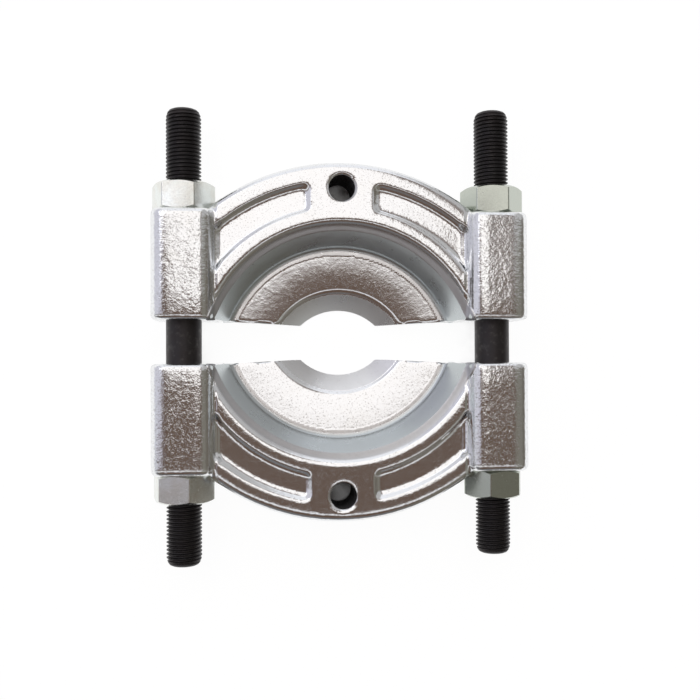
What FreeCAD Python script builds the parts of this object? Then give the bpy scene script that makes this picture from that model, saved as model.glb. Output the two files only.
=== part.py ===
"""Bearing separator: two forged jaws that slide along two threaded studs and are driven
together by four hex nuts.

Frame: X runs from stud to stud, Y runs along the studs, Z points up from the flat backs.
The origin is on the back plane, midway between the studs and at their shared mid-length.
All sizes are in millimetres.
"""
import FreeCAD
import Part
import math
import os

Vector = FreeCAD.Vector
Z_AXIS = Vector(0, 0, 1)

# Studs: plain shank in the middle, thread on both ends
stud_spacing = 124.6
stud_diameter = 14.0
stud_length = 180.0
stud_stagger = 0.95          # the right stud stands this far up, the left one this far down
shank_length = 76.0
thread_relief = 0.05         # thread crests lie this far under the shank's surface
tip_chamfer = 2.0

# Hex nuts
nut_across_flats = 22.0
nut_height = 11.0
nut_chamfer_angle = 30.0
nut_outer_face_radius = 10.3   # flat circle left by the chamfer on the face turned outwards
nut_seat_face_radius = 10.9    # the same on the face that bears on the jaw
nut_clearance = 0.1            # from the thread crests to the nut's bore
nut_bore_chamfer = 0.5
nut_turns = {"upper_left": -7.5, "upper_right": -11.0, "lower_left": -16.0, "lower_right": 11.5}

# Where the jaws stand as shown
plate_gap = 13.9
closing_plane_y = -3.2

# Jaw, measured from its closing edge (y) and from its flat back (z)
stud_hole_clearance = 0.5
boss_side_wall = 5.1
boss_roof = 6.5
boss_length = 43.4
boss_setback = 1.45          # the boss faces lie this far behind the plates' closing edge
boss_top_round = 4.0
boss_foot_round = 3.0
boss_outer_end_round = 2.6
boss_inner_end_round = 1.8
boss_flare = 3.0             # concave round from the pocket floor up the boss's side
draft_angle = 4.0
parting_round = 20.0
flange_height = 24.0
flange_radius = 84.0
flange_reach = 64.5
flange_top_round = 3.2
flange_back_round = 1.5
plate_edge_width = 31.0      # stretch of the closing edge that meets the other jaw first
web_edge_width = 87.0        # from here outwards the edge lies back at the boss faces

# Turned recess, bevel and knife edge, all about one upright axis behind the closing edge
opening_width = 31.4
opening_depth = 6.4
knife_thickness = 1.2
bevel_width = 8.3
bevel_height = 7.2
web_thickness = 8.2
recess_floor_radius = 48.0
recess_wall_lean = 5.1
recess_floor_round = 2.5
shoulder_drop = 2.4          # from the flange top down to the outer edge of the wall
shoulder_width = 2.1
shoulder_rise = 0.7
rim_round = 2.6
ledge_width = 0.6            # flat turned ring between the web and the wall's foot
ledge_depth = 0.3

# Lightening pockets between the puller hole and the bosses
pocket_depth = 3.5
pocket_wall_draft = 1.3
pocket_outer_land = 7.8       # from the flange's parting line to the pocket
pocket_inner_land = 3.8       # from the recess's rim to the pocket
pocket_corner_round = 2.6
pocket_floor_round = 1.2
hole_land_width = 25.0
pocket_overlap = 2.0          # how far a pocket runs in under the boss, which then fills it

# Tapped puller hole
puller_hole_radius = 5.1
puller_hole_inset = 10.8     # from the top of the flange's arc in to the hole's axis
puller_hole_mouth_radius = 5.9

# Values that follow from the sizes above
stud_radius = stud_diameter / 2
stud_hole_radius = stud_radius + stud_hole_clearance
thread_radius = stud_radius - thread_relief
stud_height = stud_hole_radius + boss_roof
boss_height = 2 * stud_height
boss_half_width = stud_hole_radius + boss_side_wall
boss_end_y = boss_setback + boss_length
stud_x = stud_spacing / 2
nut_corner_radius = nut_across_flats / math.sqrt(3)
flange_axis_y = flange_reach - flange_radius
knife_radius = (opening_width ** 2 / 4 + opening_depth ** 2) / (2 * opening_depth)
turning_axis_y = opening_depth - knife_radius
bevel_radius = knife_radius + bevel_width
wall_top_radius = recess_floor_radius + recess_wall_lean
wall_top_height = flange_height - shoulder_drop
shoulder_radius = wall_top_radius + shoulder_width
shoulder_height = wall_top_height + shoulder_rise
rim_height = flange_height - shoulder_height
wall_slope = math.atan2(wall_top_height - web_thickness, recess_wall_lean)
ledge_radius = recess_floor_radius - recess_floor_round * math.tan(wall_slope / 2) - ledge_width
rim_radius = shoulder_radius + rim_round
pocket_floor_height = flange_height - pocket_depth
pocket_outer_radius = flange_radius - pocket_outer_land
pocket_inner_radius = rim_radius + pocket_inner_land
puller_hole_y = flange_reach - puller_hole_inset
boss_rise = boss_height - pocket_floor_height
flare_radius = min(boss_flare, 0.42 * boss_rise)
top_round = min(boss_top_round, 0.55 * boss_rise)
above = boss_height + 10     # a height clear of the whole jaw
beyond = 1.0                 # how far a cut runs past the face it opens


def rounded_wire(corners, place):
    """Closed wire through corners (a, b, radius), with a tangent arc at each corner that has a radius.
    place turns an (a, b) pair into a point in space."""
    points = [place(a, b) for a, b, _ in corners]
    runs = []
    for i, (_, _, radius) in enumerate(corners):
        here = points[i]
        back = (points[i - 1] - here).normalize()
        ahead = (points[(i + 1) % len(points)] - here).normalize()
        if not radius:
            runs.append((here, None, here))
            continue
        half = back.getAngle(ahead) / 2
        inwards = (back + ahead).normalize()
        middle = here + inwards * (radius / math.sin(half) - radius)
        setback = radius / math.tan(half)
        runs.append((here + back * setback, middle, here + ahead * setback))
    edges = []
    for i, (start, middle, end) in enumerate(runs):
        if middle is not None:
            edges.append(Part.Arc(start, middle, end).toShape())
        following = runs[(i + 1) % len(runs)][0]
        if (following - end).Length > 1e-6:
            edges.append(Part.LineSegment(end, following).toShape())
    return Part.Wire(edges)


def turned_solid(corners, axis_y):
    """Solid of revolution about the upright axis at y, from corners (radius, height, round)."""
    wire = rounded_wire(corners, lambda r, z: Vector(r, axis_y, z))
    return Part.Face(wire).revolve(Vector(0, axis_y, 0), Z_AXIS, 360)


def drafted(height):
    """How far a drafted side stands in from the parting line at this height."""
    return abs(height - stud_height) * math.tan(math.radians(draft_angle))


def flange_blank():
    """The forged plate with its drafted, rounded outer edge, cut off at the closing edge."""
    blank = turned_solid([
        (0, 0, 0),
        (flange_radius - drafted(0), 0, flange_back_round),
        (flange_radius, stud_height, parting_round),
        (flange_radius - drafted(flange_height), flange_height, flange_top_round),
        (0, flange_height, 0),
    ], flange_axis_y)
    side = stud_x
    outline = [
        (-side, boss_setback), (-web_edge_width / 2, boss_setback), (-plate_edge_width / 2, 0),
        (plate_edge_width / 2, 0), (web_edge_width / 2, boss_setback), (side, boss_setback),
        (side, flange_reach + beyond), (-side, flange_reach + beyond),
    ]
    points = [Vector(x, y, -beyond) for x, y in outline]
    plan = Part.Face(Part.makePolygon(points + points[:1]))
    return blank.common(plan.extrude(Vector(0, 0, above)))


def forged_recess():
    """The dished hollow as forged: a gently crowned web floor and a rounded rim."""
    def place(radius, height):
        return Vector(radius, turning_axis_y, height)

    floor_edge = (ledge_radius + recess_floor_radius) / 2
    halfway = (bevel_radius + floor_edge) / 2
    crown = bevel_height + 0.8 * (web_thickness - bevel_height)
    shoulder_slope = shoulder_rise / shoulder_width
    step_height = shoulder_height - shoulder_slope * (shoulder_radius - floor_edge)
    edges = [
        Part.LineSegment(place(0, bevel_height), place(bevel_radius, bevel_height)).toShape(),
        Part.Arc(place(bevel_radius, bevel_height), place(halfway, crown),
                 place(floor_edge, web_thickness)).toShape(),
        Part.LineSegment(place(floor_edge, web_thickness),
                         place(floor_edge, step_height)).toShape(),
        Part.LineSegment(place(floor_edge, step_height),
                         place(shoulder_radius, shoulder_height)).toShape(),
        Part.Arc(place(shoulder_radius, shoulder_height),
                 place(shoulder_radius + 0.3 * rim_round, flange_height - 0.3 * rim_height),
                 place(rim_radius, flange_height)).toShape(),
        Part.LineSegment(place(rim_radius, flange_height), place(rim_radius, above)).toShape(),
        Part.LineSegment(place(rim_radius, above), place(0, above)).toShape(),
        Part.LineSegment(place(0, above), place(0, bevel_height)).toShape(),
    ]
    face = Part.Face(Part.Wire(edges))
    return face.revolve(Vector(0, turning_axis_y, 0), Z_AXIS, 360)


def recess_wall_cut():
    """The turned wall of the recess, which also clears the foot of each boss."""
    floor = web_thickness - ledge_depth
    top_radius = recess_floor_radius + (above - floor) / math.tan(wall_slope)
    return turned_solid([
        (ledge_radius, floor, 0),
        (recess_floor_radius, floor, recess_floor_round),
        (top_radius, above, 0),
        (ledge_radius, above, 0),
    ], turning_axis_y)


def knife_cut():
    """The shaft opening with its thin edge, and the bevel that rises from it to the web."""
    slope = bevel_width / (bevel_height - knife_thickness)
    return turned_solid([
        (0, -beyond, 0),
        (knife_radius, -beyond, 0),
        (knife_radius, knife_thickness, 0),
        (bevel_radius + slope * beyond, bevel_height + beyond, 0),
        (0, bevel_height + beyond, 0),
    ], turning_axis_y)


def pocket_cut(side):
    """One drafted pocket with rounded corners, running from the hole's land in under the boss.
    It keeps a constant land to the flange's edge and to the recess's rim."""
    lean = pocket_wall_draft / pocket_depth
    reach = lean * (above - pocket_floor_height)
    inside_edge = turned_solid([
        (0, pocket_floor_height, 0),
        (pocket_outer_radius - pocket_wall_draft, pocket_floor_height, 0),
        (pocket_outer_radius - pocket_wall_draft + reach, above, 0),
        (0, above, 0),
    ], flange_axis_y)
    recess_land = turned_solid([
        (0, pocket_floor_height - beyond, 0),
        (pocket_inner_radius + pocket_wall_draft + lean * beyond, pocket_floor_height - beyond, 0),
        (pocket_inner_radius + pocket_wall_draft - reach, above, 0),
        (0, above, 0),
    ], turning_axis_y)
    start = hole_land_width / 2 + pocket_wall_draft
    end = stud_x - boss_half_width + pocket_overlap
    section = [
        Vector(side * start, 0, pocket_floor_height),
        Vector(side * end, 0, pocket_floor_height),
        Vector(side * end, 0, above),
        Vector(side * (start - reach), 0, above),
    ]
    span = Part.Face(Part.makePolygon(section + section[:1])).extrude(Vector(0, flange_reach, 0))
    pocket = inside_edge.common(span).cut(recess_land)
    widest_round = 0.45 * pocket_end_width(start)
    corners = [edge for edge in pocket.Edges if is_pocket_corner(edge, side)]
    pocket = pocket.makeFillet(min(pocket_corner_round, widest_round), corners)
    floor = [edge for edge in pocket.Edges if lies_flat_at(edge, pocket_floor_height)]
    return pocket.makeFillet(min(pocket_floor_round, widest_round), floor)


def pocket_end_width(x):
    """Width of the pocket's floor at its end wall, between the two lands."""
    outer = flange_axis_y + math.sqrt((pocket_outer_radius - pocket_wall_draft) ** 2 - x ** 2)
    inner = turning_axis_y + math.sqrt((pocket_inner_radius + pocket_wall_draft) ** 2 - x ** 2)
    return outer - inner


def is_pocket_corner(edge, side):
    """True on the two rising edges of a pocket's end wall."""
    box = edge.BoundBox
    near_end = side * (box.XMin + box.XMax) / 2 < hole_land_width / 2 + 2 * pocket_wall_draft
    return box.ZLength > pocket_depth and near_end


def lies_flat_at(edge, height):
    """True on an edge that lies wholly at this height."""
    box = edge.BoundBox
    return box.ZLength < 1e-4 and abs(box.ZMin - height) < 1e-4


def boss(side):
    """A drafted block with rounded edges round one stud, flared into the pocket floor."""
    half_top = boss_half_width - drafted(boss_height)
    flare_x = boss_half_width + flare_radius - drafted(pocket_floor_height)
    flare_top = pocket_floor_height + flare_radius
    corners = [
        (half_top, 0, boss_foot_round),
        (boss_half_width, stud_height, parting_round),
        (half_top, boss_height, top_round),
        (-half_top, boss_height, top_round),
        (-(boss_half_width - drafted(flare_top)), pocket_floor_height, flare_radius),
        (-flare_x, pocket_floor_height, 0),
        (-flare_x, 0, 0),
    ]
    wire = rounded_wire(corners, lambda x, z: Vector(side * (stud_x + x), boss_setback, z))
    block = Part.Face(wire).extrude(Vector(0, boss_length, 0))
    outer_end = [e for e in block.Edges if is_end_edge(e, boss_end_y, side)]
    block = block.makeFillet(boss_outer_end_round, outer_end)
    inner_end = [e for e in block.Edges if is_end_edge(e, boss_setback, side)]
    return block.makeFillet(boss_inner_end_round, inner_end)


def is_end_edge(edge, y, side):
    """True on the edges round a boss's end face, but for those buried in the flange."""
    box = edge.BoundBox
    at_end = box.YLength < 1e-4 and abs(box.YMin - y) < 1e-4
    outermost = max(side * box.XMin, side * box.XMax)
    buried = outermost < stud_x - boss_half_width + drafted(boss_height)
    under = box.ZMax < 1e-4
    return at_end and not buried and not under


def stud_hole(side):
    """The clearance hole along one stud."""
    start = Vector(side * stud_x, -beyond, stud_height)
    length = boss_end_y + 2 * beyond
    return Part.makeCylinder(stud_hole_radius, length, start, Vector(0, 1, 0))


def spot_face(side):
    """The room that the nut needs to turn on the boss's outer end."""
    start = Vector(side * stud_x, boss_end_y, stud_height)
    radius = nut_corner_radius + stud_hole_clearance
    return Part.makeCylinder(radius, flange_reach - boss_end_y + beyond, start, Vector(0, 1, 0))


def puller_hole():
    """The tapped through hole at its minor diameter, with a countersunk mouth on both faces."""
    mouth = puller_hole_mouth_radius - puller_hole_radius
    return turned_solid([
        (0, -beyond, 0),
        (puller_hole_mouth_radius, -beyond, 0),
        (puller_hole_mouth_radius, 0, 0),
        (puller_hole_radius, mouth, 0),
        (puller_hole_radius, flange_height - mouth, 0),
        (puller_hole_mouth_radius, flange_height, 0),
        (puller_hole_mouth_radius, flange_height + beyond, 0),
        (0, flange_height + beyond, 0),
    ], puller_hole_y)


def jaw():
    """One jaw, with its closing edge on y = 0 and its back on z = 0."""
    plate = flange_blank().cut([forged_recess()] + [pocket_cut(side) for side in (-1, 1)])
    forging = plate.fuse([boss(side) for side in (-1, 1)])
    cuts = [recess_wall_cut(), knife_cut(), puller_hole()]
    for side in (-1, 1):
        cuts += [spot_face(side), stud_hole(side)]
    return forging.cut(cuts).removeSplitter()


def stud():
    """One stud along Y, centred on the origin, with its thread drawn at the crests."""
    shoulder = tip_chamfer / 3
    half = stud_length / 2
    profile = [
        (0, -half), (thread_radius - tip_chamfer, -half), (thread_radius, tip_chamfer - half),
        (thread_radius, -shank_length / 2 - shoulder), (stud_radius, -shank_length / 2),
        (stud_radius, shank_length / 2), (thread_radius, shank_length / 2 + shoulder),
        (thread_radius, half - tip_chamfer), (thread_radius - tip_chamfer, half), (0, half),
    ]
    points = [Vector(radius, y, 0) for radius, y in profile]
    face = Part.Face(Part.makePolygon(points + points[:1]))
    return face.revolve(Vector(0, 0, 0), Vector(0, 1, 0), 360)


def nut(turn):
    """One hex nut along Y, seated on y = 0, its top flat turned about Y by turn degrees."""
    corners = []
    for k in range(6):
        angle = math.radians(60 * k + 30 + turn)
        corners.append(Vector(nut_corner_radius * math.sin(angle), 0, nut_corner_radius * math.cos(angle)))
    hexagon = Part.Face(Part.makePolygon(corners + corners[:1]))
    prism = hexagon.extrude(Vector(0, nut_height, 0))
    rise = math.tan(math.radians(nut_chamfer_angle))
    outside = nut_corner_radius + beyond
    seat_drop = (outside - nut_seat_face_radius) * rise
    face_drop = (outside - nut_outer_face_radius) * rise
    bore = thread_radius + nut_clearance
    mouth = bore + nut_bore_chamfer
    profile = [
        (mouth, 0), (nut_seat_face_radius, 0), (outside, seat_drop), (outside, nut_height - face_drop),
        (nut_outer_face_radius, nut_height), (mouth, nut_height),
        (bore, nut_height - nut_bore_chamfer), (bore, nut_bore_chamfer),
    ]
    points = [Vector(radius, y, 0) for radius, y in profile]
    barrel = Part.Face(Part.makePolygon(points + points[:1]))
    return prism.common(barrel.revolve(Vector(0, 0, 0), Vector(0, 1, 0), 360))


def placed(shape, x=0.0, y=0.0, z=0.0, half_turn=False):
    """A copy of the shape, turned half round about the upright axis if asked, then moved."""
    copy = shape.copy()
    if half_turn:
        copy.rotate(Vector(0, 0, 0), Z_AXIS, 180)
    copy.translate(Vector(x, y, z))
    return copy


def assembly():
    """Every piece by its node name, in its place."""
    one_jaw = jaw()
    one_stud = stud()
    open_by = plate_gap / 2
    seat = open_by + boss_end_y
    pieces = {
        "upper_jaw": placed(one_jaw, y=closing_plane_y + open_by),
        "lower_jaw": placed(one_jaw, y=closing_plane_y - open_by, half_turn=True),
        "left_stud": placed(one_stud, x=-stud_x, y=-stud_stagger, z=stud_height),
        "right_stud": placed(one_stud, x=stud_x, y=stud_stagger, z=stud_height),
    }
    for name, turn in nut_turns.items():
        lower = name.startswith("lower")
        x = -stud_x if name.endswith("left") else stud_x
        y = closing_plane_y + (-seat if lower else seat)
        # a half turn about Z carries the nut's own turn about Y with it the other way
        shape = nut(-turn if lower else turn)
        pieces[name + "_nut"] = placed(shape, x, y, stud_height, half_turn=lower)
    return pieces


def main():
    os.makedirs("parts", exist_ok=True)
    for name, shape in assembly().items():
        solid = shape.Solids[0]
        if len(shape.Solids) != 1 or not solid.isValid():
            raise RuntimeError(f"{name} is not one valid solid")
        solid.exportStep(f"parts/{name}.step")
        print(name, "volume", round(solid.Volume), "faces", len(solid.Faces))


main()
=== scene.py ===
"""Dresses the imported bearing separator: two plated forgings with machined recesses, two
black studs with rolled threads, four zinc plated nuts, and a plain studio round them.

All lengths below are in millimetres unless a comment says otherwise, and are turned to metres
where a mesh is made. X runs from stud to stud, Y along the studs, Z up from the flat backs.
"""
import math

import bmesh
import bpy
import numpy as np
from mathutils import Matrix, Vector, noise


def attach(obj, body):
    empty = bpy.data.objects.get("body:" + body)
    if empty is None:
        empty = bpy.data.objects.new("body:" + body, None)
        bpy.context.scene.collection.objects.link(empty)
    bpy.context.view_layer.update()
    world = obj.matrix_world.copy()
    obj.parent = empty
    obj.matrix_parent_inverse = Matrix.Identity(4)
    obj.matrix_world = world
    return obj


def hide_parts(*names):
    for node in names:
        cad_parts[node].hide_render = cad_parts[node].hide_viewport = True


bl_info = {
    "name": "Bearing separator",
    "version": (1, 0, 0),
    "blender": (4, 5, 0),
    "location": "3D View > Sidebar > Separator",
    "description": "Forged jaws, rolled studs, hex nuts and a studio round the packed frame",
    "category": "Object",
}

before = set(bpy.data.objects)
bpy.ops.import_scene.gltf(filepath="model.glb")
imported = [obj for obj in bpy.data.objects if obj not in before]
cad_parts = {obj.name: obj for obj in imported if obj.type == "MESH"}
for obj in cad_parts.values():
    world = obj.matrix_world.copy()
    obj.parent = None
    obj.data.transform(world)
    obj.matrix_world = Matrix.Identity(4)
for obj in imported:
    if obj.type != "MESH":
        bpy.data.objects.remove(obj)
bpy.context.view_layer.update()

MM = 0.001
MERGE = 1e-7
FULL_TURN = 2 * math.pi
ALONG_Y = Matrix.Rotation(-math.pi / 2, 4, "X")

# Where things stand
STUD_X = 62.3
STUD_Z = 14.0
STUD_SIDES = {"left": -1, "right": 1}
STUD_CENTRE_Y = {"left": -0.95, "right": 0.95}
JAW_PLACES = {
    "upper_jaw": Matrix.Translation((0, 3.75 * MM, 0)),
    "lower_jaw": Matrix.Translation((0, -10.15 * MM, 0)) @ Matrix.Rotation(math.pi, 4, "Z"),
}
NUT_SEATS = {"upper": 48.6, "lower": -55.0}
NUT_TURNS = {"upper_left": -7.5, "upper_right": -11.0, "lower_left": -16.0, "lower_right": 11.5}

# The jaw's machined faces, from its closing edge and its flat back
TURNING_AXIS_Y = -16.0542
KNIFE_RADIUS, KNIFE_THICKNESS = 22.4542, 1.2
BEVEL_RADIUS, BEVEL_HEIGHT = 30.7542, 7.2
WEB_EDGE_RADIUS, WEB_EDGE_HEIGHT = 46.2, 7.9
LEDGE_HEIGHT = 8.14
LEDGE_FLAT, LEDGE_RUN, LEDGE_DROP = 0.6, 2.2, 0.13
WALL_FOOT_RADIUS, WALL_FOOT_ROUND, WALL_FOOT_STEPS = 48.0, 2.5, 6
WALL_SLOPE = math.atan2(13.4, 5.1)
STUD_HOLE_RADIUS = 7.5
BOSS_FACE_Y, BOSS_END_Y = 1.45, 44.85
PULLER_HOLE_Y, PULLER_HOLE_RADIUS, PULLER_MOUTH_RADIUS = 53.7, 5.1, 5.9
PULLER_THREAD_CREST, PULLER_THREAD_PITCH = 6.05, 1.75
FLANGE_AXIS_Y, FLANGE_HEIGHT = -19.5, 24.0
EDGE_END_X, EDGE_STEP_X, EDGE_FLAT_X = 47.0, 43.5, 15.5
CLOSING_EDGE = [(EDGE_END_X, BOSS_FACE_Y), (EDGE_STEP_X, BOSS_FACE_Y), (EDGE_FLAT_X, 0.0),
                (-EDGE_FLAT_X, 0.0), (-EDGE_STEP_X, BOSS_FACE_Y), (-EDGE_END_X, BOSS_FACE_Y)]

# How the struck forging differs from its drawing
STOCK, STOCK_REACH, BEVEL_STOCK_SHARE = 0.3, 0.7, 1.8
LEDGE_STOCK_START, LEDGE_STOCK_RUN, LEDGE_STOCK_TOP = 45.1, 0.6, 12.0
WEB_LEVELS = (6.0, 9.0)
WEB_DIP, WEB_LIP = 0.27, 0.2
FLANGE_TOP, BOSS_TOP, TOP_BLEND = 19.0, 24.5, 2.0
BOSS_FALL, BOSS_FALL_RUN = 0.3, 11.0
CROWN_START, CROWN_RUN, CROWN_BEND = 5.0, 4.0, 0.012
EDGE_START, EDGE_RUN, EDGE_SLOPE = 9.0, 1.8, 0.06
RIM_START, RIM_WIDTH, RIM_FALL = 56.0, 2.2, 0.2
BROAD_WAVE, MIDDLE_WAVE, FINE_WAVE = 11.0, 4.2, 2.1
CALMEST, CALM_LEVEL, CALM_RUN = 0.3, 9.0, 6.0
ROUGH_SIDE, ROUGH_SIDE_RUN = 49.0, 2.0
SEED_STRIDES = (37.0, 11.0, 5.0)

# How far the cutting tools reach past the metal, and how far clear of it they end
PAST, FAR_PAST = 1.0, 5.0
CLEAR = 40.0


# Meshes

def as_object(bm, name, materials):
    """Ends a bmesh as a new object at the origin, doubles merged and faces turned outwards."""
    bmesh.ops.remove_doubles(bm, verts=bm.verts, dist=MERGE)
    bmesh.ops.recalc_face_normals(bm, faces=bm.faces)
    mesh = bpy.data.meshes.new(name)
    bm.to_mesh(mesh)
    bm.free()
    for material in materials:
        mesh.materials.append(material)
    piece = bpy.data.objects.new(name, mesh)
    bpy.context.scene.collection.objects.link(piece)
    return piece


def spun(name, profile, place, materials, steps):
    """A solid of revolution about Z from (radius, height) pairs, then moved by place."""
    bm = bmesh.new()
    verts = [bm.verts.new((radius * MM, 0, height * MM)) for radius, height in profile]
    edges = [bm.edges.new(pair) for pair in zip(verts, verts[1:])]
    bmesh.ops.spin(bm, geom=verts + edges, cent=(0, 0, 0), axis=(0, 0, 1), angle=FULL_TURN,
                   steps=steps, use_merge=True)
    bmesh.ops.transform(bm, matrix=place, verts=bm.verts)
    return as_object(bm, name, materials)


def threaded_rod(name, crest, root, pitch, start, end, place, materials, steps=40):
    """A right-hand metric thread along Z between two heights, closed flat at both ends.
    Rods of the same pitch and place share one helix, whatever heights they run between."""
    rounded = 0.06
    shallow = root + rounded * (crest - root)
    form = [
        (shallow, 0), (root, pitch / 8), (shallow, pitch / 4),
        (crest, pitch * 9 / 16), (crest, pitch * 11 / 16), (shallow, pitch),
    ]
    first = math.floor(start / pitch) - 1
    turns = math.ceil(end / pitch) + 1 - first
    bm = bmesh.new()
    verts = [bm.verts.new((radius * MM, 0, (height + first * pitch) * MM))
             for radius, height in form]
    edges = [bm.edges.new(pair) for pair in zip(verts, verts[1:])]
    bmesh.ops.spin(bm, geom=verts + edges, cent=(0, 0, 0), axis=(0, 0, 1),
                   dvec=(0, 0, pitch * MM / steps), angle=FULL_TURN, steps=steps)
    made = 1
    while made < turns:
        twin = bmesh.ops.duplicate(bm, geom=bm.verts[:] + bm.edges[:] + bm.faces[:])["geom"]
        moved = [item for item in twin if isinstance(item, bmesh.types.BMVert)]
        bmesh.ops.translate(bm, verts=moved, vec=(0, 0, made * pitch * MM))
        made *= 2
    bmesh.ops.remove_doubles(bm, verts=bm.verts, dist=MERGE * 10)
    for height, upwards in ((end, 1), (start, -1)):
        bmesh.ops.bisect_plane(bm, geom=bm.verts[:] + bm.edges[:] + bm.faces[:], dist=MERGE,
                               plane_co=(0, 0, height * MM), plane_no=(0, 0, upwards),
                               clear_outer=True)
    rims = [edge for edge in bm.edges if edge.is_boundary]
    bmesh.ops.holes_fill(bm, edges=rims, sides=0)
    bmesh.ops.transform(bm, matrix=place, verts=bm.verts)
    return as_object(bm, name, materials)


def block(name, low, high, materials):
    """A plain cutting block between two corners."""
    bm = bmesh.new()
    bmesh.ops.create_cube(bm, size=1.0)
    size = [(b - a) * MM for a, b in zip(low, high)]
    middle = [(a + b) / 2 * MM for a, b in zip(low, high)]
    bmesh.ops.scale(bm, vec=size, verts=bm.verts)
    bmesh.ops.translate(bm, vec=middle, verts=bm.verts)
    return as_object(bm, name, materials)


def prism(name, outline, low, high, materials):
    """An upright prism on an outline of (x, y) corners."""
    bm = bmesh.new()
    foot = bm.faces.new([bm.verts.new((x * MM, y * MM, low * MM)) for x, y in outline])
    raised = bmesh.ops.extrude_face_region(bm, geom=[foot])["geom"]
    top = [item for item in raised if isinstance(item, bmesh.types.BMVert)]
    bmesh.ops.translate(bm, verts=top, vec=(0, 0, (high - low) * MM))
    bmesh.ops.holes_fill(bm, edges=[edge for edge in bm.edges if edge.is_boundary], sides=0)
    return as_object(bm, name, materials)


def baked(piece):
    """The piece with its modifiers applied to its mesh."""
    graph = bpy.context.evaluated_depsgraph_get()
    finished = bpy.data.meshes.new_from_object(piece.evaluated_get(graph))
    plain = piece.data
    piece.modifiers.clear()
    piece.data = finished
    finished.name = piece.name
    bpy.data.meshes.remove(plain)
    return piece


def combine(piece, tool, operation):
    """Cuts, joins or trims the piece with a tool solid, which is then thrown away."""
    before = len(piece.data.polygons)
    joint = piece.modifiers.new("combine", "BOOLEAN")
    joint.operation = operation
    joint.solver = "MANIFOLD"
    joint.material_mode = "TRANSFER"
    joint.object = tool
    baked(piece)
    if not piece.data.polygons or len(piece.data.polygons) == before:
        raise RuntimeError(f"{tool.name} did not work on {piece.name}")
    shape = tool.data
    bpy.data.objects.remove(tool)
    bpy.data.meshes.remove(shape)
    return piece


def smoothed(piece, sharp_degrees):
    """Smooth shading with crisp lines where two faces meet at more than this angle, and where
    one finish ends at another."""
    piece.data.shade_smooth()
    piece.data.set_sharp_from_angle(angle=math.radians(sharp_degrees))
    bm = bmesh.new()
    bm.from_mesh(piece.data)
    for edge in bm.edges:
        if len({face.material_index for face in edge.link_faces}) > 1:
            edge.smooth = False
    bm.to_mesh(piece.data)
    bm.free()
    return piece


# Materials

class Signal:
    """A number or colour on its way through a material. Arithmetic on it adds Math nodes."""

    def __init__(self, board, socket):
        self.board = board
        self.socket = socket

    def __add__(self, other):
        return self.board.maths("ADD", self, other)

    def __sub__(self, other):
        return self.board.maths("SUBTRACT", self, other)

    def __rsub__(self, other):
        return self.board.maths("SUBTRACT", other, self)

    def __mul__(self, other):
        return self.board.maths("MULTIPLY", self, other)

    __radd__ = __add__
    __rmul__ = __mul__


class Board:
    """The nodes of one material, or of the world."""

    def __init__(self, owner):
        owner.use_nodes = True
        self.tree = owner.node_tree
        self.tree.nodes.clear()

    def node(self, kind, values=None, output=0, **settings):
        """Adds a node: its settings first, then the values or signals of its sockets. Returns
        the signal of one output, if the node has any."""
        made = self.tree.nodes.new(kind)
        for key, value in settings.items():
            setattr(made, key, value)
        for key, value in (values or {}).items():
            self.plug(made.inputs[key], value)
        return Signal(self, made.outputs[output]) if made.outputs else None

    def plug(self, socket, value):
        """Links a signal to a socket, or sets the socket's own value."""
        if isinstance(value, Signal):
            self.tree.links.new(value.socket, socket)
        elif socket.type == "RGBA" and len(value) == 3:
            socket.default_value = (*value, 1)
        else:
            socket.default_value = value

    def maths(self, operation, *values):
        """A Math node on signals or plain numbers."""
        return self.node("ShaderNodeMath", dict(enumerate(values)), operation=operation)

    def mix(self, factor, low, high):
        """One colour or the other, by a factor."""
        return self.node("ShaderNodeMix", {0: factor, 6: low, 7: high}, 2, data_type="RGBA")

    def step(self, value, low, high):
        """0 below low, 1 above high, and a smooth change between."""
        values = {"Value": value, "From Min": low, "From Max": high}
        return self.node("ShaderNodeMapRange", values, interpolation_type="SMOOTHSTEP")

    def zone(self, length, edge):
        """0 before a change of finish or of painted shade, and 1 past it. The edge is where the
        change starts and ends, in millimetres."""
        return self.step(length, edge[0] * MM, edge[1] * MM)

    def place(self, offset=(0, 0, 0)):
        """The point on the piece, in its own metres, from an offset."""
        point = self.node("ShaderNodeTexCoord", output="Object")
        if not any(offset):
            return point
        return self.node("ShaderNodeVectorMath", {0: point, 1: offset}, operation="SUBTRACT")

    def parts(self, vector):
        """The three numbers of a vector."""
        node = self.tree.nodes.new("ShaderNodeSeparateXYZ")
        self.plug(node.inputs[0], vector)
        return [Signal(self, socket) for socket in node.outputs]

    def noise(self, point, size_mm, detail=2.0, roughness=0.5):
        """Soft random patches of about this size."""
        values = {"Vector": point, "Scale": 1 / MM / size_mm,
                  "Detail": detail, "Roughness": roughness}
        return self.node("ShaderNodeTexNoise", values)

    def bump(self, height, height_mm, normal=None):
        """Bends the surface's normal as relief of this height would."""
        values = {"Strength": 1.0, "Distance": height_mm * MM, "Height": height}
        if normal:
            values["Normal"] = normal
        return self.node("ShaderNodeBump", values)

    def leant(self, amount):
        """The surface's normal, leant towards the upright by an amount, as worn walls seem."""
        normal = self.node("ShaderNodeNewGeometry", output="Normal")
        upright = self.node("ShaderNodeCombineXYZ", {"Z": amount})
        together = self.node("ShaderNodeVectorMath", {0: normal, 1: upright}, operation="ADD")
        return self.node("ShaderNodeVectorMath", {0: together}, operation="NORMALIZE")

    def metal(self, **sockets):
        """A Principled metal to the material's output."""
        values = {key.replace("_", " "): value for key, value in sockets.items()}
        surface = self.node("ShaderNodeBsdfPrincipled", values)
        self.node("ShaderNodeOutputMaterial", {"Surface": surface})


def new_material(name):
    """An empty material, and the board that its nodes go on."""
    material = bpy.data.materials.new(name)
    return material, Board(material)


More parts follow.
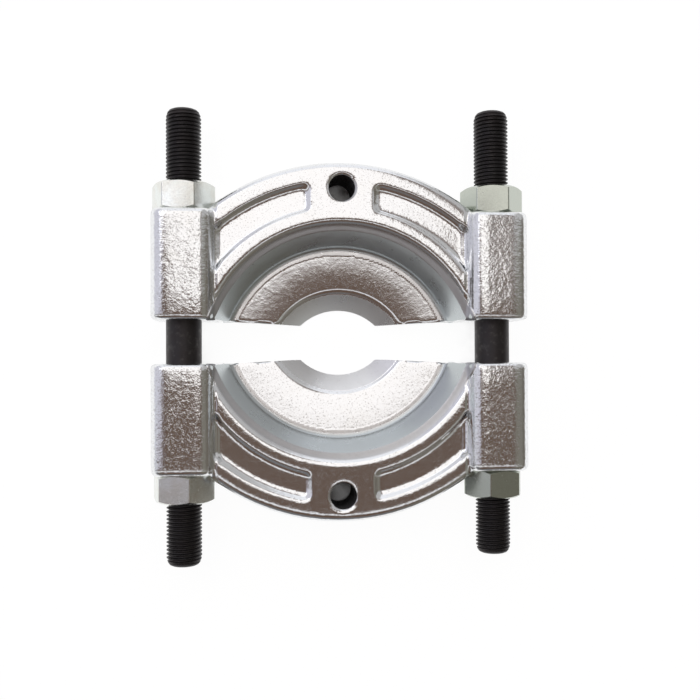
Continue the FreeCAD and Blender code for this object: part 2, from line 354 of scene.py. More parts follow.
def about_axis(board, jaw, axis_y):
    """The point on a jaw from one of its upright axes, and the distance to that axis."""
    point = board.place(tuple(JAW_PLACES[jaw] @ Vector((0, axis_y * MM, 0))))
    x, y, _ = board.parts(point)
    return point, board.maths("SQRT", x * x + y * y)


# Where a finish changes, or where painted shade starts, as the start and the end of each smooth
# change
BOSS_SIDE, WEB_HEIGHT = (48.5, 51.0), (10.0, 9.0)
SHOULDER_INNER, SHOULDER_OUTER, SHOULDER_HEIGHT = (52.6, 53.0), (56.0, 55.3), (19.0, 20.0)
POCKET_INNER, POCKET_OUTER = (60.2, 61.0), (77.5, 76.8)
POCKET_SIDE, POCKET_HEIGHT = (48.0, 46.5), (20.0, 20.3)
# Where painted shade starts on the recess wall, darker and bluer than the ledge.
RECESS_WALL_SHADE_EDGE = (46.0, 47.2)
# Heights where painted shade in the holes starts and ends.
HOLE_SHADE_TOP, HOLE_SHADE_FOOT = (23.7, 22.4), (0.4, 2.5)
THREAD_CREST = (6.6, 6.93)
# Where painted shade on the right-hand nuts starts.
RIGHT_SIDE_SHADE_EDGE = (0.0, 1.0)

# Colours under, over and beside the finishes that the panel sets
PLATING_STAIN, PLATING_PIT = (0.78, 0.75, 0.69), (0.40, 0.38, 0.36)
CLEANED_UP = (0.46, 0.46, 0.47)
TURNED_BRIGHT, TURNED_CLOUD, TURNED_SCUFF = (0.97,) * 3, (0.60, 0.60, 0.59), (0.45, 0.43, 0.42)
# Of these, the near black is painted shade in the holes; the grime is the bore's own.
BORE_GRIME, BORE_PAINTED_SHADE = (0.42, 0.39, 0.35), (0.018, 0.017, 0.017)
OXIDE_BROWN, OXIDE_WORN = (0.045, 0.036, 0.034), (0.12, 0.115, 0.11)
# Of these, the green is painted shade on the right-hand nuts; the straw cast and the nicks are the
# zinc's own.
ZINC_STRAW, RIGHT_NUT_PAINTED_SHADE, ZINC_NICK = (0.80, 0.80, 0.75), (0.53, 0.56, 0.50), (0.45, 0.46, 0.45)


def plated_skin(look, jaw):
    """Bright plating over a forging's skin: a hammered surface, fine grain, dented bosses, and a
    shoulder round the recess that the lathe has just cleaned up."""
    material, board = new_material("plated_skin_" + jaw)
    _, radius = about_axis(board, jaw, TURNING_AXIS_Y)
    _, out = about_axis(board, jaw, FLANGE_AXIS_Y)
    point = board.place()
    x, _, z = board.parts(point)
    side = board.maths("ABSOLUTE", x)
    boss = board.zone(side, BOSS_SIDE)
    web = board.zone(z, WEB_HEIGHT)
    shoulder = (board.zone(radius, SHOULDER_INNER) * board.zone(radius, SHOULDER_OUTER)
                * board.zone(z, SHOULDER_HEIGHT))
    pocket = (board.zone(radius, POCKET_INNER) * board.zone(side, POCKET_SIDE)
              * board.zone(z, POCKET_HEIGHT) * board.zone(out, POCKET_OUTER))
    peel = board.noise(point, 1.6)
    grain = board.step(board.noise(point, 0.62, roughness=0.55), 0.56, 0.70)
    patch = board.step(board.noise(point, 5.5, detail=3.0, roughness=0.6), 0.40, 0.66)
    dents = board.step(board.noise(point, 1.1), 0.58, 0.70)
    hammered = board.noise(point, 1.5, roughness=0.6)
    stained = board.step(board.noise(point, 13.0, detail=4.0, roughness=0.6), 0.45, 0.75)
    off_centre = board.maths("ABSOLUTE", side - STUD_X * MM) * (1 / MM)
    crowned = board.maths("MAXIMUM", off_centre - 4.0, 0.0)
    relief = (hammered * (0.32 + patch * 0.3 + boss * 0.6) * (1 - web * 0.5)
              - grain * (0.04 + boss * 0.07) - dents * boss * 0.22
              - crowned * crowned * boss * 0.12)
    colour = board.mix(stained * 0.16, tuple(look.plating), PLATING_STAIN)
    colour = board.mix(grain * 0.28 + dents * boss * 0.2, colour, PLATING_PIT)
    colour = board.mix(shoulder * 0.9, colour, CLEANED_UP)
    board.metal(
        Base_Color=colour, Metallic=1.0,
        Roughness=0.09 + peel * 0.08 + grain * 0.12 + shoulder * 0.22,
        Normal=board.bump(relief * (1 - shoulder * 0.85), look.grain_height,
                          board.leant(pocket * 0.8 + shoulder * 0.7)),
    )
    return material


def turned_skin(look, jaw):
    """The same plating over a turned face, with the tool's rings about the turning axis. On the wall
    its colour turns darker and bluer: painted shade in the recess."""
    material, board = new_material("plated_turned_" + jaw)
    point, radius = about_axis(board, jaw, TURNING_AXIS_Y)
    ring_pitch = 0.55 * MM
    rings = board.maths("SINE", radius * (FULL_TURN / ring_pitch))
    cloud = board.noise(point, 7.0, detail=3.0)
    scuffs = board.step(board.noise(point, 0.9, detail=3.0, roughness=0.6), 0.60, 0.74)
    # Painted shade: past the wall's foot the bright colour turns to the darker, bluer colour set for
    # the recess wall.
    wall = board.zone(radius, RECESS_WALL_SHADE_EDGE)
    colour = board.mix(cloud * 0.16, board.mix(wall, TURNED_BRIGHT, tuple(look.turned)),
                       TURNED_CLOUD)
    board.metal(
        Base_Color=board.mix(scuffs * 0.25, colour, TURNED_SCUFF), Metallic=1.0,
        Roughness=0.22 + cloud * 0.14 + scuffs * 0.08,
        Normal=board.bump(rings * 0.2 + scuffs * 0.3, 0.004),
    )
    return material


def drilled_skin(look):
    """Plating inside the drilled and tapped holes, dulled by grime, with painted shade that turns it
    nearly black away from the mouths.
    """
    material, board = new_material("plated_bore")
    point = board.place()
    _, _, z = board.parts(point)
    grime = board.noise(point, 2.0, detail=4.0, roughness=0.6)
    # Painted shade: nearly black in the holes between their mouths.
    depth = board.zone(z, HOLE_SHADE_TOP) * board.zone(z, HOLE_SHADE_FOOT)
    plated = board.mix(grime * 0.6, tuple(look.plating), BORE_GRIME)
    board.metal(
        Base_Color=board.mix(depth * (0.95 + grime * 0.05), plated, BORE_PAINTED_SHADE),
        Metallic=1.0, Roughness=0.3 + grime * 0.25, Normal=board.bump(grime, 0.01),
    )
    return material


def black_oxide(look, side):
    """Blued steel, lightly oiled, with a brown cast, burnished thread crests and fine scratches
    along the stud."""
    material, board = new_material("black_oxide_" + side)
    point = board.place((STUD_SIDES[side] * STUD_X * MM, 0, STUD_Z * MM))
    x, _, z = board.parts(point)
    radius = board.maths("SQRT", x * x + z * z)
    crest = board.zone(radius, THREAD_CREST)
    cast = board.noise(point, 9.0, detail=3.0)
    along = (1.0, 0.08, 1.0)
    stretched = board.node("ShaderNodeVectorMath", {0: point, 1: along}, operation="MULTIPLY")
    scratches = board.noise(stretched, 0.7, detail=3.0, roughness=0.6)
    worn = crest * board.step(board.noise(point, 3.0, detail=3.0, roughness=0.6), 0.5, 0.72)
    colour = board.mix(cast, tuple(look.oxide), OXIDE_BROWN)
    board.metal(
        Base_Color=board.mix(worn * 0.5, colour, OXIDE_WORN), Metallic=0.85,
        Roughness=0.3 + scratches * 0.28 - worn * 0.08,
        Normal=board.bump(scratches, 0.012),
    )
    return material


def zinc_plate(look):
    """Clear zinc plating: pale, satin, with a faint straw cast and small handling marks. The right
    stud's nuts are coloured a darker greyer green, painted shade on that side."""
    material, board = new_material("zinc_plate")
    point = board.place()
    cast = board.noise(point, 7.0, detail=3.0)
    bloom = board.noise(point, 0.9, detail=3.0, roughness=0.6)
    nicks = board.step(board.noise(point, 1.3, detail=4.0, roughness=0.7), 0.62, 0.72)
    x, _, _ = board.parts(point)
    colour = board.mix(board.step(cast, 0.35, 0.65), tuple(look.zinc), ZINC_STRAW)
    # Painted shade: the nuts on the right are coloured darker and greener.
    colour = board.mix(board.zone(x, RIGHT_SIDE_SHADE_EDGE), colour, RIGHT_NUT_PAINTED_SHADE)
    board.metal(
        Base_Color=board.mix(nicks * 0.4, colour, ZINC_NICK), Metallic=1.0,
        Roughness=0.16 + bloom * 0.14 + nicks * 0.1,
        Normal=board.bump(bloom + cast * 2.0 - nicks * 0.6, 0.012),
    )
    return material


# The jaws

def wall_profile():
    """The turned ledge, the round at the wall's foot and the wall, as (radius, height)."""
    reach = WALL_FOOT_ROUND * math.tan(WALL_SLOPE / 2)
    foot = WALL_FOOT_RADIUS + (LEDGE_HEIGHT - WEB_EDGE_HEIGHT) / math.tan(WALL_SLOPE)
    centre = (foot - reach, LEDGE_HEIGHT + WALL_FOOT_ROUND)
    start = centre[0] - LEDGE_FLAT
    points = [(start - LEDGE_RUN, LEDGE_HEIGHT - LEDGE_DROP), (start, LEDGE_HEIGHT)]
    for step in range(WALL_FOOT_STEPS + 1):
        angle = WALL_SLOPE * step / WALL_FOOT_STEPS
        points.append((centre[0] + WALL_FOOT_ROUND * math.sin(angle),
                       centre[1] - WALL_FOOT_ROUND * math.cos(angle)))
    points.append((foot + FLANGE_HEIGHT / math.tan(WALL_SLOPE), LEDGE_HEIGHT + FLANGE_HEIGHT))
    return points


def bevel_profile():
    """The knife edge and the turned bevel, as (radius, height), run on past both ends."""
    slope = (BEVEL_RADIUS - KNIFE_RADIUS) / (BEVEL_HEIGHT - KNIFE_THICKNESS)
    past = 2.0
    return [(KNIFE_RADIUS, -PAST), (KNIFE_RADIUS, KNIFE_THICKNESS),
            (BEVEL_RADIUS + slope * past, BEVEL_HEIGHT + past)]


def rise(value, start, run):
    """0 up to start, 1 past start and run, and a straight climb between."""
    return np.clip((value - start) / run, 0, 1)


def fall(value, start, run):
    """1 up to start, 0 past start and run, and a straight drop between."""
    return np.clip(1 - (value - start) / run, 0, 1)


def pushed(points, profile):
    """How far each (radius, height) point is pushed off a profile that will be machined:
    the full stock on the profile, and nothing at its reach."""
    push = np.zeros_like(points)
    nearest = np.full(len(points), np.inf)
    for start, end in zip(profile, profile[1:]):
        start, end = np.array(start), np.array(end)
        run = end - start
        along = np.clip((points - start) @ run / (run @ run), 0, 1)
        away = np.linalg.norm(points - start - along[:, None] * run, axis=1)
        normal = np.array([-run[1], run[0]]) / np.linalg.norm(run)
        closer = away < nearest
        share = fall(away, 0, STOCK_REACH)
        push[closer] = (STOCK * share * share * (3 - 2 * share))[closer, None] * normal
        nearest[closer] = away[closer]
    return push


def grown_by_stock(co):
    """Leaves stock on the faces that are machined after forging, as a forger does. Only the
    ledge at the wall's foot is raised: the web inside it is left as struck."""
    arm = np.hypot(co[:, 0], co[:, 1] - TURNING_AXIS_Y)
    outwards = np.stack([co[:, 0] / arm, (co[:, 1] - TURNING_AXIS_Y) / arm], axis=1)
    ledge = (co[:, 2] < LEDGE_STOCK_TOP) * rise(arm, LEDGE_STOCK_START, LEDGE_STOCK_RUN)
    for profile, out, up in ((wall_profile(), 1.0, 1.0), (bevel_profile(), BEVEL_STOCK_SHARE, 0.0)):
        push = pushed(np.stack([arm, co[:, 2]], axis=1), profile)
        co[:, :2] += outwards * push[:, :1] * out
        co[:, 2] += push[:, 1] * up * ledge
    holes = [([0, 2], (side * STUD_X, STUD_Z), STUD_HOLE_RADIUS) for side in (1, -1)]
    holes.append(([0, 1], (0.0, PULLER_HOLE_Y), PULLER_HOLE_RADIUS))
    for across, centre, radius in holes:
        inwards = centre - co[:, across]
        arm = np.hypot(*inwards.T)
        share = fall(np.abs(arm - radius), 0, STOCK_REACH)
        co[:, across] += inwards / np.maximum(arm, 1e-6)[:, None] * share[:, None] * STOCK
    co[:, 2] -= STOCK * fall(np.abs(co[:, 2]), 0, STOCK_REACH)
    co[:, :2] += pushed(co[:, :2], CLOSING_EDGE)
    return co


def settled(co):
    """The small ways in which the struck forging differs from its drawing: the web dips to a
    straight cone between the bevel and the wall, the boss tops fall off towards the split and
    their sides, and the flange's rim is eased."""
    x, y, z = co.T
    arm = np.hypot(x, y - TURNING_AXIS_Y)
    share = rise(arm, BEVEL_RADIUS, WEB_EDGE_RADIUS - BEVEL_RADIUS)
    lip = np.clip(1 - 1.5 * share, 0, 1)
    web = (z > WEB_LEVELS[0]) & (z < WEB_LEVELS[1]) & (arm < WEB_EDGE_RADIUS + 0.5)
    z -= np.where(web, WEB_DIP * 4 * share * (1 - share) + WEB_LIP * lip * lip, 0)
    split = fall(y, BOSS_FACE_Y, BOSS_FALL_RUN)
    top = rise(z, BOSS_TOP, TOP_BLEND)
    z -= BOSS_FALL * split * split * top
    side = np.abs(np.abs(x) - STUD_X)
    crown = CROWN_BEND * np.clip(side - CROWN_START, 0, CROWN_RUN) ** 2
    z -= (crown + EDGE_SLOPE * np.clip(side - EDGE_START, 0, EDGE_RUN)) * top
    rim = fall(arm, RIM_START, RIM_WIDTH)
    z -= RIM_FALL * rim * rim * rise(z, FLANGE_TOP, TOP_BLEND) * (1 - top)
    return co


def forging_waves(co, normals, height, seed):
    """The uneven skin that forging dies and scale leave, a little into the metal, calmer low in
    the recess and rougher on the bosses."""
    offset = Vector([seed * stride for stride in SEED_STRIDES])
    depth = np.empty(len(co))
    boss = rise(np.abs(co[:, 0]), ROUGH_SIDE, ROUGH_SIDE_RUN)
    calm = np.clip(CALMEST + (co[:, 2] - CALM_LEVEL) / CALM_RUN, CALMEST, 1)
    for i, point in enumerate(co):
        here = Vector(point) + offset
        broad = noise.noise(here / BROAD_WAVE)
        middle = noise.noise(here / MIDDLE_WAVE)
        fine = noise.noise(here / FINE_WAVE)
        depth[i] = calm[i] * (0.9 * broad + 0.4 * middle) + (0.05 + 0.15 * boss[i]) * fine
    return co + normals * (height * (depth - 0.8))[:, None]


def struck_blank(name, look, seed, place, skin):
    """The jaw as it leaves the dies, in its own frame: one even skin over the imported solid, eased,
    settled and waved, with stock on the faces to be machined."""
    bm = bmesh.new()
    bm.from_mesh(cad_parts[name].data)
    bmesh.ops.transform(bm, matrix=place.inverted(), verts=bm.verts)
    blank = as_object(bm, "forged_" + name, [skin])
    for polygon in blank.data.polygons:
        polygon.material_index = 0
    remesh = blank.modifiers.new("forge", "REMESH")
    remesh.mode = "VOXEL"
    remesh.voxel_size = look.voxel * MM
    baked(blank)
    bm = bmesh.new()
    bm.from_mesh(blank.data)
    for _ in range(3):
        bmesh.ops.smooth_vert(bm, verts=bm.verts, factor=0.5,
                              use_axis_x=True, use_axis_y=True, use_axis_z=True)
    bm.normal_update()
    co = np.array([vert.co for vert in bm.verts]) / MM
    normals = np.array([vert.normal for vert in bm.verts])
    lowest, highest = co.min(axis=0), co.max(axis=0)
    co = forging_waves(settled(co), normals, look.wave_height, seed)
    co = grown_by_stock(np.clip(co, lowest, highest))
    for vert, point in zip(bm.verts, co):
        vert.co = point * MM
    bm.to_mesh(blank.data)
    bm.free()
    return blank


def turn_recess(jaw, turned):
    """Turns the ledge and the wall, and then the bevel down to the knife edge."""
    axis = Matrix.Translation((0, TURNING_AXIS_Y * MM, 0))
    over_web = WEB_LEVELS[1] + 0.2
    wall = wall_profile()
    wall = [(0, over_web), (wall[0][0], over_web)] + wall + [(0, wall[-1][1])]
    bevel = bevel_profile()
    bevel = [(0, bevel[0][1])] + bevel + [(0, bevel[-1][1])]
    for name, profile in (("wall_tool", wall), ("bevel_tool", bevel)):
        combine(jaw, spun(name, profile, axis, [turned], steps=256), "DIFFERENCE")


def drill_holes(jaw, drilled):
    """Drills both stud holes, and countersinks and taps the puller hole."""
    end = BOSS_END_Y + 3 * PAST
    for side in STUD_SIDES.values():
        axis = Matrix.Translation((side * STUD_X * MM, -PAST * MM, STUD_Z * MM)) @ ALONG_Y
        drill = [(0, 0), (STUD_HOLE_RADIUS, 0), (STUD_HOLE_RADIUS, end), (0, end)]
        combine(jaw, spun("drill", drill, axis, [drilled], steps=64), "DIFFERENCE")
    axis = Matrix.Translation((0, PULLER_HOLE_Y * MM, 0))
    mouth = PULLER_MOUTH_RADIUS - PULLER_HOLE_RADIUS
    combine(jaw, spun("countersink", [
        (0, -PAST), (PULLER_MOUTH_RADIUS, -PAST), (PULLER_MOUTH_RADIUS, 0),
        (PULLER_HOLE_RADIUS, mouth), (PULLER_HOLE_RADIUS, FLANGE_HEIGHT - mouth),
        (PULLER_MOUTH_RADIUS, FLANGE_HEIGHT), (PULLER_MOUTH_RADIUS, FLANGE_HEIGHT + PAST),
        (0, FLANGE_HEIGHT + PAST)], axis, [drilled], steps=64), "DIFFERENCE")
    combine(jaw, threaded_rod("tap", PULLER_THREAD_CREST, PULLER_HOLE_RADIUS, PULLER_THREAD_PITCH,
                              -PAST, FLANGE_HEIGHT + PAST, axis, [drilled]), "DIFFERENCE")


def forged_jaw(name, look, seed, materials):
    """One jaw, made as the real one is: forged with stock, turned, drilled and tapped, ground
    on its back and milled on its closing edge."""
    skin, turned, drilled = materials
    place = JAW_PLACES[name]
    jaw = struck_blank(name, look, seed, place, skin)
    turn_recess(jaw, turned)
    drill_holes(jaw, drilled)
    combine(jaw, block("back_grinder", (-CLEAR * 3, -CLEAR, -FAR_PAST),
                       (CLEAR * 3, CLEAR * 3, 0.0), [skin]), "DIFFERENCE")
    beyond = [(-EDGE_END_X, -FAR_PAST), (EDGE_END_X, -FAR_PAST)]
    combine(jaw, prism("edge_mill", CLOSING_EDGE + beyond, -FAR_PAST, CLEAR, [turned]),
            "DIFFERENCE")
    jaw.data.transform(place)
    smoothed(jaw, sharp_degrees=32)
    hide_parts(name)
    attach(jaw, name)


class SEPARATOR_PG_jaws(bpy.types.PropertyGroup):
    voxel: bpy.props.FloatProperty(
        name="Skin mesh", description="Size of the faces of the forged skin, in millimetres",
        default=0.66, min=0.4, max=3.0)
    wave_height: bpy.props.FloatProperty(
        name="Waves", description="Height of the forging's uneven skin, in millimetres",
        default=0.05, min=0.0, max=0.5)
    grain_height: bpy.props.FloatProperty(
        name="Grain", description="Height of the skin's fine grain, in millimetres",
        default=0.1, min=0.0, max=0.3)
    plating: bpy.props.FloatVectorProperty(
        name="Plating", description="Colour of the bright plating",
        subtype="COLOR", size=3, default=(0.86, 0.87, 0.88), min=0, max=1)
    # Painted shade: the recess wall's colour, darker and bluer than the turned ledge.
    turned: bpy.props.FloatVectorProperty(
        name="Recess wall", description="Colour of the thin plating deep in the recess",
        subtype="COLOR", size=3, default=(0.56, 0.60, 0.61), min=0, max=1)


class SEPARATOR_OT_forge_jaws(bpy.types.Operator):
    """Forge both jaws and machine their recesses, bevels and holes"""
    bl_idname = "separator.forge_jaws"
    bl_label = "Forge the jaws"

    def execute(self, context):
        look = context.scene.separator_jaws
        drilled = drilled_skin(look)
        for seed, name in enumerate(JAW_PLACES, 1):
            finishes = (plated_skin(look, name), turned_skin(look, name), drilled)
            forged_jaw(name, look, seed, finishes)
        return {"FINISHED"}


# The studs

SHANK_STANDS_OUT, SHANK_OVERLAP = 0.05, 0.2
TIP_ROUND = ((0, 1.7), (0.16, 1.05), (0.36, 0.55), (0.65, 0.2), (1.1, 0))


def stud_place(side):
    """The middle of a stud, with its length along Z."""
    centre = (STUD_SIDES[side] * STUD_X * MM, STUD_CENTRE_Y[side] * MM, STUD_Z * MM)
    return Matrix.Translation(centre) @ ALONG_Y


class SEPARATOR_PG_studs(bpy.types.PropertyGroup):
    pitch: bpy.props.FloatProperty(
        name="Pitch", description="Pitch of the studs' thread, in millimetres",
        default=1.5, min=0.5)
    crest: bpy.props.FloatProperty(
        name="Crest", description="Radius over the thread's crests, in millimetres", default=6.95)
    root: bpy.props.FloatProperty(
        name="Root", description="Radius at the thread's root, in millimetres", default=6.03)
    half_length: bpy.props.FloatProperty(
        name="Half length", description="Half of a stud's length, in millimetres", default=90.0)
    half_shank: bpy.props.FloatProperty(
        name="Half shank", description="Half of the plain shank's length, in millimetres",
        default=38.0)
    tip: bpy.props.FloatProperty(
        name="Tip", description="Chamfer on a stud's tips, in millimetres", default=2.0)
    oxide: bpy.props.FloatVectorProperty(
        name="Oxide", description="Colour of the black oxide",
        subtype="COLOR", size=3, default=(0.054, 0.054, 0.058), min=0, max=1)


class SEPARATOR_OT_roll_studs(bpy.types.Operator):
    """Roll the threads of both studs and leave their shanks plain"""
    bl_idname = "separator.roll_studs"
    bl_label = "Roll the studs"

    def execute(self, context):
        look = context.scene.separator_studs
        half, shank, crest = look.half_length, look.half_shank, look.crest
        tip = [(crest - look.tip * inwards, half - look.tip * down) for inwards, down in TIP_ROUND]
        both_tips = [(0, -half)] + [(r, -z) for r, z in reversed(tip)] + tip + [(0, half)]
        full = crest + SHANK_STANDS_OUT
        run_out = full - look.root + SHANK_OVERLAP
        end = shank + run_out
        plain = [(0, -end), (full - run_out, -end), (full, -shank),
                 (full, shank), (full - run_out, end), (0, end)]
        for side in STUD_SIDES:
            place = stud_place(side)
            finish = [black_oxide(look, side)]
            stud = threaded_rod("rolled_" + side + "_stud", crest, look.root, look.pitch,
                                -half - PAST, half + PAST, place, finish)
            combine(stud, spun("tip_tool", both_tips, place, finish, steps=80), "INTERSECT")
            combine(stud, spun("shank", plain, place, finish, steps=80), "UNION")
            smoothed(stud, sharp_degrees=35)
            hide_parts(side + "_stud")
            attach(stud, "studs")
        return {"FINISHED"}


# The nuts

CHAMFER_RISE = math.tan(math.radians(30))
NUT_CREST_GAP, NUT_ROOT_GAP = 0.09, 0.13
MOUTH_WIDER, MOUTH_NARROWER = 0.7, 0.6


class SEPARATOR_PG_nuts(bpy.types.PropertyGroup):
    across_flats: bpy.props.FloatProperty(
        name="Across flats", description="Width of the hexagon, in millimetres", default=22.0)
    height: bpy.props.FloatProperty(
        name="Height", description="Height of a nut, in millimetres", default=11.0)
    face_radius: bpy.props.FloatProperty(
        name="Outer face",
        description="Radius of the flat circle on the outer face, in millimetres",
        default=10.3)
    seat_radius: bpy.props.FloatProperty(
        name="Seat", description="Radius of the flat circle that bears on the jaw, in millimetres",
        default=10.9)
    corner_round: bpy.props.FloatProperty(
        name="Corner round", description="Round on the hexagon's corners, in millimetres",
        default=0.4)
    zinc: bpy.props.FloatVectorProperty(
        name="Zinc", description="Colour of the clear zinc plating",
        subtype="COLOR", size=3, default=(0.84, 0.87, 0.84), min=0, max=1)


def hexagon(name, look, place, materials):
    """A hexagonal bar with rounded corners, a flat towards the place's own -Y."""
    bm = bmesh.new()
    radius = look.across_flats / math.sqrt(3) * MM
    bmesh.ops.create_circle(bm, cap_ends=True, segments=6, radius=radius)
    bmesh.ops.rotate(bm, verts=bm.verts, matrix=Matrix.Rotation(math.pi / 6, 3, "Z"))
    raised = bmesh.ops.extrude_face_region(bm, geom=bm.faces[:])["geom"]
    top = [item for item in raised if isinstance(item, bmesh.types.BMVert)]
    bmesh.ops.translate(bm, verts=top, vec=(0, 0, look.height * MM))
    rising = [edge for edge in bm.edges if abs(edge.verts[0].co.z - edge.verts[1].co.z) > MM]
    bmesh.ops.bevel(bm, geom=rising, offset=look.corner_round * MM, segments=3, profile=0.5,
                    affect="EDGES", material=-1)
    bmesh.ops.transform(bm, matrix=place, verts=bm.verts)
    return as_object(bm, name, materials)


class SEPARATOR_OT_tap_nuts(bpy.types.Operator):
    """Cut the four nuts from hexagonal bar, chamfer them and tap them to the studs' thread"""
    bl_idname = "separator.tap_nuts"
    bl_label = "Tap the nuts"

    def execute(self, context):
        look = context.scene.separator_nuts
        thread = context.scene.separator_studs
        finish = [zinc_plate(look)]
        corner = look.across_flats / math.sqrt(3) + PAST
        chamfered = [
            (0, 0), (look.seat_radius, 0), (corner, (corner - look.seat_radius) * CHAMFER_RISE),
            (corner, look.height - (corner - look.face_radius) * CHAMFER_RISE),
            (look.face_radius, look.height), (0, look.height)]
        mouth, throat = thread.crest + MOUTH_WIDER, thread.crest - MOUTH_NARROWER
        for name, turn in NUT_TURNS.items():
            end, side = name.split("_")
            outwards = 1 if end == "upper" else -1
            seat = NUT_SEATS[end] - STUD_CENTRE_Y[side]
            facing = Matrix.Identity(4) if end == "upper" else Matrix.Rotation(math.pi, 4, "X")
            place = (stud_place(side) @ Matrix.Translation((0, 0, seat * MM)) @ facing
                     @ Matrix.Rotation(math.radians(turn * outwards), 4, "Z"))
            nut = hexagon("tapped_" + name + "_nut", look, place, finish)
            combine(nut, spun("chamfer_tool", chamfered, place, finish, steps=120), "INTERSECT")
            bottom, top = sorted((seat, seat + look.height * outwards))
            combine(nut, threaded_rod("tap", thread.crest + NUT_CREST_GAP,
                                      thread.root + NUT_ROOT_GAP, thread.pitch, bottom - PAST,
                                      top + PAST, stud_place(side), finish, steps=48),
                    "DIFFERENCE")
            for height, sign in ((0, 1), (look.height, -1)):
                before, after = height - sign, height + sign * (mouth - throat)
                combine(nut, spun("mouth_tool", [(0, before), (mouth, before), (mouth, height),
                                                 (throat, after), (0, after)],
                                  place, finish, steps=64), "DIFFERENCE")
            smoothed(nut, sharp_degrees=20)
            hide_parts(name + "_nut")
            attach(nut, name + "_nut")
        return {"FINISHED"}


# The stage

class SEPARATOR_PG_stage(bpy.types.PropertyGroup):
    camera_place: bpy.props.FloatVectorProperty(
        name="Camera", description="Where the camera stands", subtype="TRANSLATION", unit="LENGTH",
        size=3, default=(-0.0328, -0.0109, 0.3691))
    camera_tilt: bpy.props.FloatVectorProperty(
        name="Tilt", description="How the camera is turned", subtype="EULER", unit="ROTATION",
        size=3, default=(math.radians(0.75), math.radians(-5.88), math.radians(-0.25)))
    lens: bpy.props.FloatProperty(
        name="Lens", description="Focal length on a 36 mm sensor, in millimetres", unit="CAMERA",
        default=45.48)
    lamp_strength: bpy.props.FloatProperty(
        name="Lamps", description="How bright the lamps' faces look, where 1 is white",
        default=1.05)
    room: bpy.props.FloatVectorProperty(
        name="Room", description="Colour of the dim side of the room",
        subtype="COLOR", size=3, default=(0.125, 0.085, 0.066), min=0, max=1)
    wall: bpy.props.FloatVectorProperty(
        name="Wall", description="Colour of the bright side of the room",
        subtype="COLOR", size=3, default=(0.95, 0.96, 1.0), min=0, max=1)
    floor: bpy.props.FloatVectorProperty(
        name="Floor", description="Colour of the floor",
        subtype="COLOR", size=3, default=(0.88, 0.88, 0.88), min=0, max=1)


# The lamps' left, right and near edges, the height and the far edge that all share, and the
# sizes of the floor and its shadow, in metres
LAMPS = {
    "overhead_far": (-2.2, -0.52, 0.5),
    "overhead_left": (-0.52, -0.10, 0.10),
    "overhead_right": (-0.10, 0.78, 0.0),
}
LAMP_HEIGHT, LAMP_FAR = 3.0, 2.94
ROOM_LOW, ROOM_HAZE, ROOM_LEFT = (0.17, 0.17, 0.175), (0.9, 0.9, 0.92), (0.60, 0.59, 0.67)
ROOM_RIGHT_HIGH, ROOM_RIGHT_LOW = (0.22, 0.215, 0.185), (0.15, 0.13, 0.10)
WHITE = (1, 1, 1)
FLOOR_FLECKS, FLOOR_HALF_SIZE, FLOOR_GLOW = (0.80, 0.80, 0.80), 1.6, 1.08
SHADOW_REACH, SHADOW_EDGE = 0.04, (0.08, 0.22)


def soft_lamp(name, left, right, near, strength):
    """A flat lamp facing down, whose face is this bright."""
    data = bpy.data.lights.new(name, "AREA")
    data.shape = "RECTANGLE"
    data.size, data.size_y = right - left, LAMP_FAR - near
    data.energy = strength * math.pi * (right - left) * (LAMP_FAR - near)
    lamp = bpy.data.objects.new(name, data)
    lamp.location = ((left + right) / 2, (near + LAMP_FAR) / 2, LAMP_HEIGHT)
    lamp.visible_camera = False
    bpy.context.scene.collection.objects.link(lamp)


def seen_directly(board):
    """Two switches: 1 where the camera looks itself, and 1 where it looks itself, in metal or
    through glass."""
    path = board.tree.nodes.new("ShaderNodeLightPath")
    camera = Signal(board, path.outputs["Is Camera Ray"])
    glossy = Signal(board, path.outputs["Is Glossy Ray"])
    through = Signal(board, path.outputs["Is Transmission Ray"])
    return camera, board.maths("MAXIMUM", board.maths("MAXIMUM", camera, glossy), through)


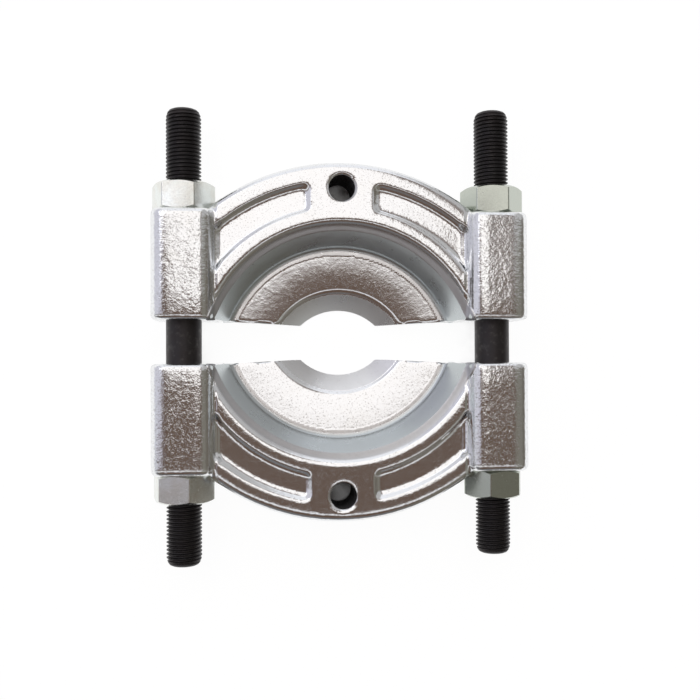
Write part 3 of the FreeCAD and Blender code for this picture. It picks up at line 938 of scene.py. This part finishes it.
class SEPARATOR_OT_light_stage(bpy.types.Operator):
    """Set the camera, the soft lamps, the room and the pale floor"""
    bl_idname = "separator.light_stage"
    bl_label = "Light the stage"

    def execute(self, context):
        scene = context.scene
        look = scene.separator_stage
        scene.view_settings.view_transform = "Standard"
        data = bpy.data.cameras.new("camera")
        data.lens = look.lens
        data.sensor_width = 36.0
        data.clip_start = 0.01
        camera = bpy.data.objects.new("camera", data)
        camera.location = look.camera_place
        camera.rotation_euler = look.camera_tilt
        scene.collection.objects.link(camera)
        scene.camera = camera
        for name, edges in LAMPS.items():
            soft_lamp(name, *edges, look.lamp_strength)
        self.hang_world(scene, look)
        self.lay_floor(look)
        return {"FINISHED"}

    def hang_world(self, scene, look):
        """A brown room, bright beyond the far side and on the left, with a light haze in front,
        grey low down, and white where the camera sees past the floor. A lamp's glow adds to
        the room behind it, so the bright side stays dark under the lamps."""
        world = bpy.data.worlds.new("room")
        scene.world = world
        board = Board(world)
        direction = board.node("ShaderNodeTexCoord", output="Generated")
        x, y, z = board.parts(direction)
        far = board.step(y - x * 0.19, 0.0, 0.05)
        left = board.step(x, -0.28, -0.50) * board.step(y, -0.2, -0.06)
        low = board.step(z, 0.62, 0.35)
        right = board.step(x, 0.27, 0.50)
        haze = board.step(y, -0.26, -0.30) * board.step(y, -0.46, -0.41)
        under_lamp = board.step(z, 0.68, 0.74) * (1 - right)
        colour = board.mix(low, tuple(look.room), ROOM_LOW)
        colour = board.mix(haze, colour, ROOM_HAZE)
        colour = board.mix(right * 0.8, colour, board.mix(low, ROOM_RIGHT_HIGH, ROOM_RIGHT_LOW))
        colour = board.mix(left, colour, ROOM_LEFT)
        far = far * (1 - right * 0.6) * (1 - under_lamp) * (1 - left * 0.8)
        colour = board.mix(far, colour, tuple(look.wall))
        camera, _ = seen_directly(board)
        seen = board.mix(camera, colour, WHITE)
        shine = board.node("ShaderNodeBackground", {"Color": seen, "Strength": 1.0})
        board.node("ShaderNodeOutputWorld", {"Surface": shine})

    def lay_floor(self, look):
        """A pale floor that looks white and keeps a faint shadow of the tool."""
        material, board = new_material("pale_floor")
        _, direct = seen_directly(board)
        grain = board.noise(board.place(), 40.0, detail=3.0)
        colour = board.mix(grain * 0.05, tuple(look.floor), FLOOR_FLECKS)
        matt = board.node("ShaderNodeBsdfDiffuse", {"Color": colour})
        glow = board.node("ShaderNodeEmission", {"Color": WHITE, "Strength": FLOOR_GLOW})
        near = {"Distance": SHADOW_REACH}
        open_air = board.step(board.node("ShaderNodeAmbientOcclusion", near, "AO", samples=16),
                              *SHADOW_EDGE)
        whitened = direct * open_air * 0.88
        surface = board.node("ShaderNodeMixShader", {0: whitened, 1: matt, 2: glow})
        board.node("ShaderNodeOutputMaterial", {"Surface": surface})
        bm = bmesh.new()
        bmesh.ops.create_grid(bm, x_segments=1, y_segments=1, size=FLOOR_HALF_SIZE)
        floor = as_object(bm, "floor", [material])


class SEPARATOR_PT_panel(bpy.types.Panel):
    """Each step's sizes and colours, with the button that carries it out"""
    bl_label = "Bearing separator"
    bl_idname = "SEPARATOR_PT_panel"
    bl_space_type = "VIEW_3D"
    bl_region_type = "UI"
    bl_category = "Separator"

    def draw(self, context):
        for owner, operator in STEPS:
            box = self.layout.box()
            settings = getattr(context.scene, owner)
            for name in settings.__annotations__:
                box.prop(settings, name)
            box.operator(operator)


GROUPS = {
    "separator_stage": SEPARATOR_PG_stage,
    "separator_jaws": SEPARATOR_PG_jaws,
    "separator_studs": SEPARATOR_PG_studs,
    "separator_nuts": SEPARATOR_PG_nuts,
}
STEPS = (
    ("separator_stage", "separator.light_stage"),
    ("separator_jaws", "separator.forge_jaws"),
    ("separator_studs", "separator.roll_studs"),
    ("separator_nuts", "separator.tap_nuts"),
)
CLASSES = (
    *GROUPS.values(), SEPARATOR_OT_light_stage, SEPARATOR_OT_forge_jaws,
    SEPARATOR_OT_roll_studs, SEPARATOR_OT_tap_nuts, SEPARATOR_PT_panel,
)


def register():
    for each in CLASSES:
        bpy.utils.register_class(each)
    for name, group in GROUPS.items():
        setattr(bpy.types.Scene, name, bpy.props.PointerProperty(type=group))


def unregister():
    for name in GROUPS:
        delattr(bpy.types.Scene, name)
    for each in reversed(CLASSES):
        bpy.utils.unregister_class(each)


def main():
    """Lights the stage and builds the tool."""
    register()
    bpy.ops.separator.light_stage()
    bpy.ops.separator.forge_jaws()
    bpy.ops.separator.roll_studs()
    bpy.ops.separator.tap_nuts()


if __name__ == "__main__":
    main()
